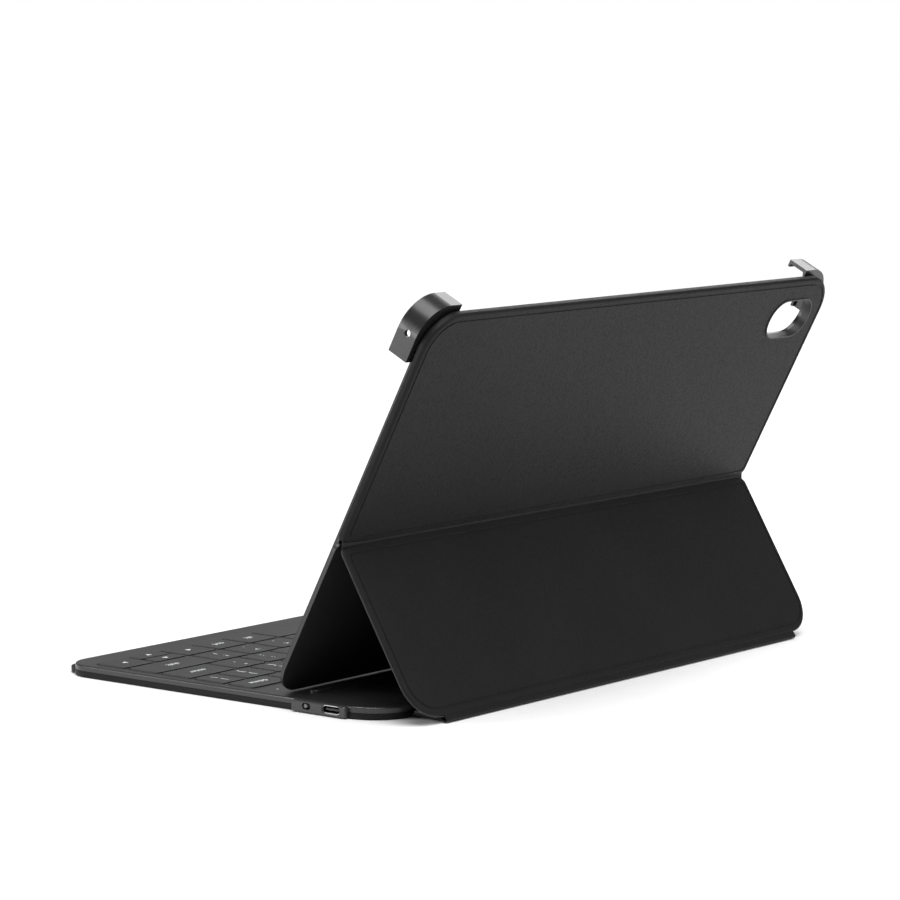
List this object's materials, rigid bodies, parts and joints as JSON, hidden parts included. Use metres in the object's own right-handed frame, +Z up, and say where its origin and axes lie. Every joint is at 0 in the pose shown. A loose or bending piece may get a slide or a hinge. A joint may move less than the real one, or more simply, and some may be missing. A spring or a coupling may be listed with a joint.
{
  "type": "tablet keyboard case",
  "caption": "Folio keyboard case for a tablet, propped open: thin keyboard base, leather spine, folding stand panel and tray panel with corner clips.",
  "frame": {"origin": "on the table under the middle of the keyboard base's width, 81.8 mm behind its front edge", "axes": "+X to the user's right along the keyboard, +Y away from the user, +Z up"},
  "size_m": [0.2755, 0.1987, 0.1627],
  "materials": {
    "outer_leather": "fine-grained imitation leather",
    "stiffener_board": "grey fibre board",
    "inner_lining": "brushed microfibre",
    "backing_panel": "fine matt",
    "tray_plastic": "hard satin-gloss",
    "shell_plastic": "matt",
    "deck_plastic": "fine spark-eroded matt",
    "pod_plastic": "fine matt",
    "key_plastic": "soft matt",
    "steel_plate": "rolled",
    "membrane_film": "printed film",
    "dome_rubber": "silicone",
    "scissor_plastic": "acetal",
    "circuit_board": "solder mask",
    "chip_plastic": "moulded",
    "battery_foil": "pouch foil",
    "socket_steel": "plated",
    "tongue_plastic": "moulded",
    "switch_steel": "plated",
    "slider_plastic": "matt",
    "indicator_plastic": "translucent",
    "magnet_plate": "nickel",
    "screw_steel": "blackened"
  },
  "bodies": {
    "base": {"base_skin": "outer_leather", "base_board": "stiffener_board", "keyboard_bottom_shell": "shell_plastic", "keyboard_deck": "deck_plastic", "shell_screws": "screw_steel", "key_support_plate": "steel_plate", "membrane_sheet": "membrane_film", "rubber_domes": "dome_rubber", "scissor_frames": "scissor_plastic", "controller_board": "circuit_board", "control_chips": "chip_plastic", "battery_cell": "battery_foil", "usb_c_socket": "socket_steel", "usb_c_tongue": "tongue_plastic", "slide_switch_body": "switch_steel", "indicator_lens": "indicator_plastic", "deck_magnets": "magnet_plate", "port_pod": "pod_plastic"},
    "spine": {"spine_skin": "outer_leather", "spine_board": "stiffener_board", "spine_lining": "inner_lining"},
    "stand": {"stand_skin": "outer_leather", "stand_board": "stiffener_board", "stand_lining": "inner_lining"},
    "tray": {"upper_skin": "outer_leather", "upper_board": "stiffener_board", "tray_backing": "backing_panel", "tray_shell": "tray_plastic", "tray_magnets": "magnet_plate"},
    "power_slider": {"power_slider": "slider_plastic"},
    "key_alt_left": {"key_alt_left": "key_plastic"},
    "key_alt_right": {"key_alt_right": "key_plastic"},
    "key_arrow_down": {"key_arrow_down": "key_plastic"},
    "key_arrow_left": {"key_arrow_left": "key_plastic"},
    "key_arrow_right": {"key_arrow_right": "key_plastic"},
    "key_arrow_up": {"key_arrow_up": "key_plastic"},
    "key_backslash": {"key_backslash": "key_plastic"},
    "key_backspace": {"key_backspace": "key_plastic"},
    "key_caps": {"key_caps": "key_plastic"},
    "key_ctrl_left": {"key_ctrl_left": "key_plastic"},
    "key_ctrl_right": {"key_ctrl_right": "key_plastic"},
    "key_enter": {"key_enter": "key_plastic"},
    "key_escape": {"key_escape": "key_plastic"},
    "key_fn": {"key_fn": "key_plastic"},
    "key_menu": {"key_menu": "key_plastic"},
    "key_shift_left": {"key_shift_left": "key_plastic"},
    "key_shift_right": {"key_shift_right": "key_plastic"},
    "key_space": {"key_space": "key_plastic"},
    "key_tab": {"key_tab": "key_plastic"},
    "keys_fourth_row_left": {"keys_fourth_row_left": "key_plastic"},
    "keys_fourth_row_right": {"keys_fourth_row_right": "key_plastic"},
    "keys_number_row_left": {"keys_number_row_left": "key_plastic"},
    "keys_number_row_right": {"keys_number_row_right": "key_plastic"},
    "keys_second_row_left": {"keys_second_row_left": "key_plastic"},
    "keys_second_row_right": {"keys_second_row_right": "key_plastic"},
    "keys_third_row_left": {"keys_third_row_left": "key_plastic"},
    "keys_third_row_right": {"keys_third_row_right": "key_plastic"}
  },
  "joints": [
    {"name": "spine_hinge", "type": "hinge", "parent": "base", "child": "spine", "pos_m": [0, 0.087, 0.0021], "axis": [-1, 0, 0], "range_deg": [-92, 2]},
    {"name": "stand_hinge", "type": "hinge", "parent": "spine", "child": "stand", "pos_m": [0, 0.1036, 0.0013], "axis": [-1, 0, 0], "range_deg": [0, 118.5]},
    {"name": "crease_hinge", "type": "hinge", "parent": "stand", "child": "tray", "pos_m": [0, 0.06602, 0.06587], "axis": [1, 0, 0], "range_deg": [-50, 58.6]},
    {"name": "power_switch", "type": "slide", "parent": "base", "child": "power_slider", "axis": [0, 1, 0], "range_m": [0, 0.0016]},
    {"name": "key_alt_left_press", "type": "slide", "parent": "base", "child": "key_alt_left", "axis": [0, 0, -1], "range_m": [0, 0.0012], "stiffness_N_per_m": 300, "springref_m": -0.0005, "deforming": ["rubber_domes", "scissor_frames"]},
    {"name": "key_alt_right_press", "type": "slide", "parent": "base", "child": "key_alt_right", "axis": [0, 0, -1], "range_m": [0, 0.0012], "stiffness_N_per_m": 300, "springref_m": -0.0005},
    {"name": "key_arrow_down_press", "type": "slide", "parent": "base", "child": "key_arrow_down", "axis": [0, 0, -1], "range_m": [0, 0.0012], "stiffness_N_per_m": 1800, "springref_m": -0.0005},
    {"name": "key_arrow_left_press", "type": "slide", "parent": "base", "child": "key_arrow_left", "axis": [0, 0, -1], "range_m": [0, 0.0012], "stiffness_N_per_m": 1800, "springref_m": -0.0005},
    {"name": "key_arrow_right_press", "type": "slide", "parent": "base", "child": "key_arrow_right", "axis": [0, 0, -1], "range_m": [0, 0.0012], "stiffness_N_per_m": 1800, "springref_m": -0.0005},
    {"name": "key_arrow_up_press", "type": "slide", "parent": "base", "child": "key_arrow_up", "axis": [0, 0, -1], "range_m": [0, 0.0012], "stiffness_N_per_m": 1800, "springref_m": -0.0005},
    {"name": "key_backslash_press", "type": "slide", "parent": "base", "child": "key_backslash", "axis": [0, 0, -1], "range_m": [0, 0.0012], "stiffness_N_per_m": 300, "springref_m": -0.0005},
    {"name": "key_backspace_press", "type": "slide", "parent": "base", "child": "key_backspace", "axis": [0, 0, -1], "range_m": [0, 0.0012], "stiffness_N_per_m": 300, "springref_m": -0.0005},
    {"name": "key_caps_press", "type": "slide", "parent": "base", "child": "key_caps", "axis": [0, 0, -1], "range_m": [0, 0.0012], "stiffness_N_per_m": 300, "springref_m": -0.0005},
    {"name": "key_ctrl_left_press", "type": "slide", "parent": "base", "child": "key_ctrl_left", "axis": [0, 0, -1], "range_m": [0, 0.0012], "stiffness_N_per_m": 300, "springref_m": -0.0005},
    {"name": "key_ctrl_right_press", "type": "slide", "parent": "base", "child": "key_ctrl_right", "axis": [0, 0, -1], "range_m": [0, 0.0012], "stiffness_N_per_m": 300, "springref_m": -0.0005},
    {"name": "key_enter_press", "type": "slide", "parent": "base", "child": "key_enter", "axis": [0, 0, -1], "range_m": [0, 0.0012], "stiffness_N_per_m": 300, "springref_m": -0.0005},
    {"name": "key_escape_press", "type": "slide", "parent": "base", "child": "key_escape", "axis": [0, 0, -1], "range_m": [0, 0.0012], "stiffness_N_per_m": 300, "springref_m": -0.0005},
    {"name": "key_fn_press", "type": "slide", "parent": "base", "child": "key_fn", "axis": [0, 0, -1], "range_m": [0, 0.0012], "stiffness_N_per_m": 300, "springref_m": -0.0005},
    {"name": "key_menu_press", "type": "slide", "parent": "base", "child": "key_menu", "axis": [0, 0, -1], "range_m": [0, 0.0012], "stiffness_N_per_m": 300, "springref_m": -0.0005},
    {"name": "key_shift_left_press", "type": "slide", "parent": "base", "child": "key_shift_left", "axis": [0, 0, -1], "range_m": [0, 0.0012], "stiffness_N_per_m": 300, "springref_m": -0.0005},
    {"name": "key_shift_right_press", "type": "slide", "parent": "base", "child": "key_shift_right", "axis": [0, 0, -1], "range_m": [0, 0.0012], "stiffness_N_per_m": 300, "springref_m": -0.0005},
    {"name": "key_space_press", "type": "slide", "parent": "base", "child": "key_space", "axis": [0, 0, -1], "range_m": [0, 0.0012], "stiffness_N_per_m": 300, "springref_m": -0.0005},
    {"name": "key_tab_press", "type": "slide", "parent": "base", "child": "key_tab", "axis": [0, 0, -1], "range_m": [0, 0.0012], "stiffness_N_per_m": 300, "springref_m": -0.0005},
    {"name": "keys_fourth_row_left_press", "type": "slide", "parent": "base", "child": "keys_fourth_row_left", "axis": [0, 0, -1], "range_m": [0, 0.0012], "stiffness_N_per_m": 1800, "springref_m": -0.0005},
    {"name": "keys_fourth_row_right_press", "type": "slide", "parent": "base", "child": "keys_fourth_row_right", "axis": [0, 0, -1], "range_m": [0, 0.0012], "stiffness_N_per_m": 1800, "springref_m": -0.0005},
    {"name": "keys_number_row_left_press", "type": "slide", "parent": "base", "child": "keys_number_row_left", "axis": [0, 0, -1], "range_m": [0, 0.0012], "stiffness_N_per_m": 1800, "springref_m": -0.0005},
    {"name": "keys_number_row_right_press", "type": "slide", "parent": "base", "child": "keys_number_row_right", "axis": [0, 0, -1], "range_m": [0, 0.0012], "stiffness_N_per_m": 1800, "springref_m": -0.0005},
    {"name": "keys_second_row_left_press", "type": "slide", "parent": "base", "child": "keys_second_row_left", "axis": [0, 0, -1], "range_m": [0, 0.0012], "stiffness_N_per_m": 1800, "springref_m": -0.0005},
    {"name": "keys_second_row_right_press", "type": "slide", "parent": "base", "child": "keys_second_row_right", "axis": [0, 0, -1], "range_m": [0, 0.0012], "stiffness_N_per_m": 1800, "springref_m": -0.0005},
    {"name": "keys_third_row_left_press", "type": "slide", "parent": "base", "child": "keys_third_row_left", "axis": [0, 0, -1], "range_m": [0, 0.0012], "stiffness_N_per_m": 1800, "springref_m": -0.0005},
    {"name": "keys_third_row_right_press", "type": "slide", "parent": "base", "child": "keys_third_row_right", "axis": [0, 0, -1], "range_m": [0, 0.0012], "stiffness_N_per_m": 1800, "springref_m": -0.0005}
  ],
  "couplings": [
    {"joint": "crease_hinge", "follows": "stand_hinge", "ratio": 0.49367},
    {"joint": "spine_hinge", "follows": "stand_hinge", "ratio": 0.01}
  ]
}
